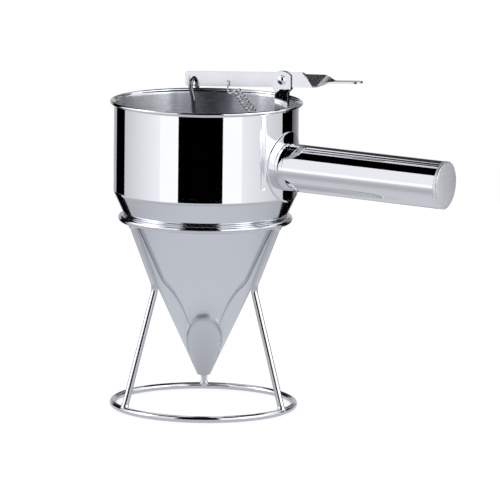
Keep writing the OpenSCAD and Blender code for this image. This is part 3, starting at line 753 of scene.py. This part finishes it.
# Cards stand round the object and are seen in reflections only. Each card: from and to, in degrees
# to the camera's right round the object, then its lowest and highest elevation, and its brightness
# at both sides. Two parts of the table are black in reflections.
studio = {
    "radius": 4.0, "middle": 0.17, "cameraTurn": 27.3, "tint": (0.975, 0.985, 1.02),
    "cards": {
        "flagMiddle": (-34.6, 20.6, -62, 89, 0, 0),
        "panelLeft": (-59, -34.6, -62, 3, 1.15, 1.15),
        "panelLeftHigh": (-59, -34.6, 3, 46.5, 0.97, 0.97),
        "panelRight": (20.6, 45, -62, 3, 1.15, 1.15),
        "panelRightHigh": (20.6, 50, 3, 46.5, 1.35, 1.35),
        "screenLeft": (-122, -59, -62, 3, 0.63, 1.02),
        "screenLeftNear": (-72, -59, 3, 46.5, 0.9, 0.95),
        "screenLeftHigh": (-122, -72, 3, 46.5, 0.8, 2.8),
        "screenRight": (45, 109, -62, 3, 0.97, 0.68),
        "screenRightHigh": (50, 109, 3, 46.5, 2.5, 0.9),
        "flagLeft": (-150, -122, -62, 46.5, 0, 0),
        "flagRight": (109, 135, -62, 20, 0, 0),
        "lightRight": (109, 135, 20, 46.5, 1.0, 1.0),
        "dimRight": (135, 162, -62, 36, 0.12, 0.40),
        "dimBack": (162, 210, -62, 12, 0.60, 0.45),
        "darkBack": (162, 210, 12, 36, 0.03, 0.03),
        "lightBack": (184, 198, 36, 50, 0.95, 0.95),
        "lightBackHigh": (198, 215, 46, 62, 0.85, 0.85),
        "farBack": (150, 184, 36, 50, 0.05, 0.05),
        "farBackLow": (198, 210, 36, 46, 0.05, 0.05),
        "ceilingLeft": (-119, -34.6, 46.5, 89, 0, 0),
        "ceilingRight": (20.6, 150, 46.5, 89, 0, 0),
        "ceilingFar": (150, 198, 50, 89, 0.03, 0.03),
        "ceilingFarHigh": (198, 215, 62, 89, 0.03, 0.03),
        "ceilingBack": (215, 241, 50, 89, 0.75, 0.75),
    },
    "cardRows": 12, "cardTurn": 3, "cardGlow": 2,
    "darkTable": {"darkLeft": (-160, -128), "darkRight": (116, 158)},
    "darkReach": (0.27, 0.93), "darkLift": 0.5, "darkSteps": 10,
    "table": 0.95, "tableWhite": 0.82, "tableMatt": (0.22, 0.22, 0.22, 1),
    # tones of the table in reflections by distance from the middle, in metres: painted shadow, darker
    # within 0.4 m of the object
    "tableShadowTones": [(0.0, 0.40), (0.05, 0.55), (0.08, 0.66), (0.15, 0.64), (0.24, 0.50),
                   (0.38, 0.50), (0.66, 0.68), (0.95, 0.70)],
    "tableTint": (0.95, 0.975, 1.03),
}
cameraRight = studio["cameraTurn"] - 90


def emissionMaterial(name, strength=1):
    material = bpy.data.materials.new(name)
    material.use_nodes = True
    nodes, links = material.node_tree.nodes, material.node_tree.links
    nodes.clear()
    output = nodes.new("ShaderNodeOutputMaterial")
    glow = nodes.new("ShaderNodeEmission")
    glow.inputs["Strength"].default_value = strength
    links.new(glow.outputs["Emission"], output.inputs["Surface"])
    return material


def toneRamp(nodes, tones, tint):
    ramp = nodes.new("ShaderNodeValToRGB")
    while len(ramp.color_ramp.elements) < len(tones):
        ramp.color_ramp.elements.new(0.5)
    for element, (where, tone) in zip(ramp.color_ramp.elements, tones):
        element.position = where
        element.color = (*[tone * t for t in tint], 1)
    return ramp


def stageObject(name, bm, material, shown=False):
    mesh = bpy.data.meshes.new(name)
    bm.to_mesh(mesh)
    bm.free()
    mesh.materials.append(material)
    thing = bpy.data.objects.new(name, mesh)
    scene.collection.objects.link(thing)
    if not shown:
        thing.visible_camera = thing.visible_diffuse = thing.visible_shadow = False


def sweepRound(points, start, end, steps):
    # a line of (radius, height) points in metres, swept from and to these degrees
    bm = bmesh.new()
    verts = [bm.verts.new((radius, 0, z)) for radius, z in points]
    edges = [bm.edges.new(pair) for pair in zip(verts, verts[1:])]
    bmesh.ops.rotate(bm, cent=(0, 0, 0), verts=verts,
                     matrix=Matrix.Rotation(math.radians(cameraRight + start), 3, "Z"))
    bmesh.ops.spin(bm, geom=verts + edges, cent=(0, 0, 0), axis=(0, 0, 1), dvec=(0, 0, 0),
                   angle=math.radians(end - start), steps=steps, use_merge=False,
                   use_normal_flip=False, use_duplicate=False)
    return bm


def makeCard(name, start, end, low, high, left, right):
    points = arcPoints((0, studio["middle"]), studio["radius"], low, high, studio["cardRows"])
    bm = sweepRound(points, start, end, max(6, int((end - start) / studio["cardTurn"])))
    across = bm.verts.layers.float.new("across")
    for v in bm.verts:
        at = math.degrees(math.atan2(v.co.y, v.co.x)) - cameraRight - start
        v[across] = ((at + 5) % 360 - 5) / (end - start)  # at may come out a little under 0
    material = emissionMaterial(name, studio["cardGlow"])
    nodes, links = material.node_tree.nodes, material.node_tree.links
    where = nodes.new("ShaderNodeAttribute")
    where.attribute_name = "across"
    tones = [(0, left / studio["cardGlow"]), (1, right / studio["cardGlow"])]
    ramp = toneRamp(nodes, tones, studio["tint"])
    links.new(where.outputs["Fac"], ramp.inputs["Fac"])
    links.new(ramp.outputs["Color"], nodes["Emission"].inputs["Color"])
    stageObject(name, bm, material)


def makeDarkTable(name, start, end):
    points = [(reach, studio["darkLift"] * mm) for reach in studio["darkReach"]]
    bm = sweepRound(points, start, end, studio["darkSteps"])
    stageObject(name, bm, emissionMaterial(name, 0))


def makeTable():
    # white with a faint shadow to the camera, and in reflections a grey table with painted shadow round
    # the object
    bm = bmesh.new()
    bmesh.ops.create_circle(bm, cap_ends=True, segments=128, radius=studio["table"])
    material = emissionMaterial("tableTop")
    nodes, links = material.node_tree.nodes, material.node_tree.links
    glow = nodes["Emission"]
    place = nodes.new("ShaderNodeTexCoord")
    away = nodes.new("ShaderNodeVectorMath")
    away.operation = "LENGTH"
    links.new(place.outputs["Object"], away.inputs[0])
    # the tones paint the object's shadow on the table, seen only in reflections
    ramp = toneRamp(nodes, studio["tableShadowTones"], studio["tableTint"])
    links.new(away.outputs["Value"], ramp.inputs["Fac"])
    links.new(ramp.outputs["Color"], glow.inputs["Color"])
    white = nodes.new("ShaderNodeEmission")
    white.inputs["Strength"].default_value = studio["tableWhite"]
    matt = nodes.new("ShaderNodeBsdfDiffuse")
    matt.inputs["Color"].default_value = studio["tableMatt"]
    seen = nodes.new("ShaderNodeAddShader")
    links.new(white.outputs["Emission"], seen.inputs[0])
    links.new(matt.outputs["BSDF"], seen.inputs[1])
    path = nodes.new("ShaderNodeLightPath")
    mix = nodes.new("ShaderNodeMixShader")
    links.new(path.outputs["Is Camera Ray"], mix.inputs["Fac"])
    links.new(glow.outputs["Emission"], mix.inputs[1])
    links.new(seen.outputs["Shader"], mix.inputs[2])
    links.new(mix.outputs["Shader"], nodes["Material Output"].inputs["Surface"])
    stageObject("table", bm, material, shown=True)


def makeWorld():
    world = bpy.data.worlds.new("studio")
    scene.world = world
    world.use_nodes = True
    back = world.node_tree.nodes["Background"]
    back.inputs["Color"].default_value = (1, 1, 1, 1)
    back.inputs["Strength"].default_value = 1.0


view = {"distance": 3.608, "rise": 9.267, "right": 30.5, "down": 2.16, "roll": 0.703, "middle": 110,
        "lens": 382.6, "sensor": 36, "clip": (0.1, 50)}


def makeCamera():
    data = bpy.data.cameras.new("camera")
    camera = bpy.data.objects.new("camera", data)
    scene.collection.objects.link(camera)
    turn, rise = math.radians(studio["cameraTurn"]), math.radians(view["rise"])
    back = Vector((math.sin(turn) * math.cos(rise), -math.cos(turn) * math.cos(rise), math.sin(rise)))
    right = Vector((math.cos(turn), math.sin(turn), 0))
    middle = Vector((0, 0, view["middle"] * mm))
    camera.location = middle + back * view["distance"]
    aim = middle + (right * view["right"] - back.cross(right) * view["down"]) * mm
    camera.rotation_mode = "QUATERNION"
    look = (aim - camera.location).to_track_quat("-Z", "Y")
    camera.rotation_quaternion = look @ Quaternion((0, 0, 1), math.radians(view["roll"]))
    data.lens = view["lens"]
    data.sensor_width = view["sensor"]
    data.clip_start, data.clip_end = view["clip"]
    scene.camera = camera


for name, card in studio["cards"].items():
    makeCard(name, *card)
for name, (start, end) in studio["darkTable"].items():
    makeDarkTable(name, start, end)
makeTable()
makeWorld()
makeCamera()
scene.view_settings.view_transform = "Standard"
print("studio made")
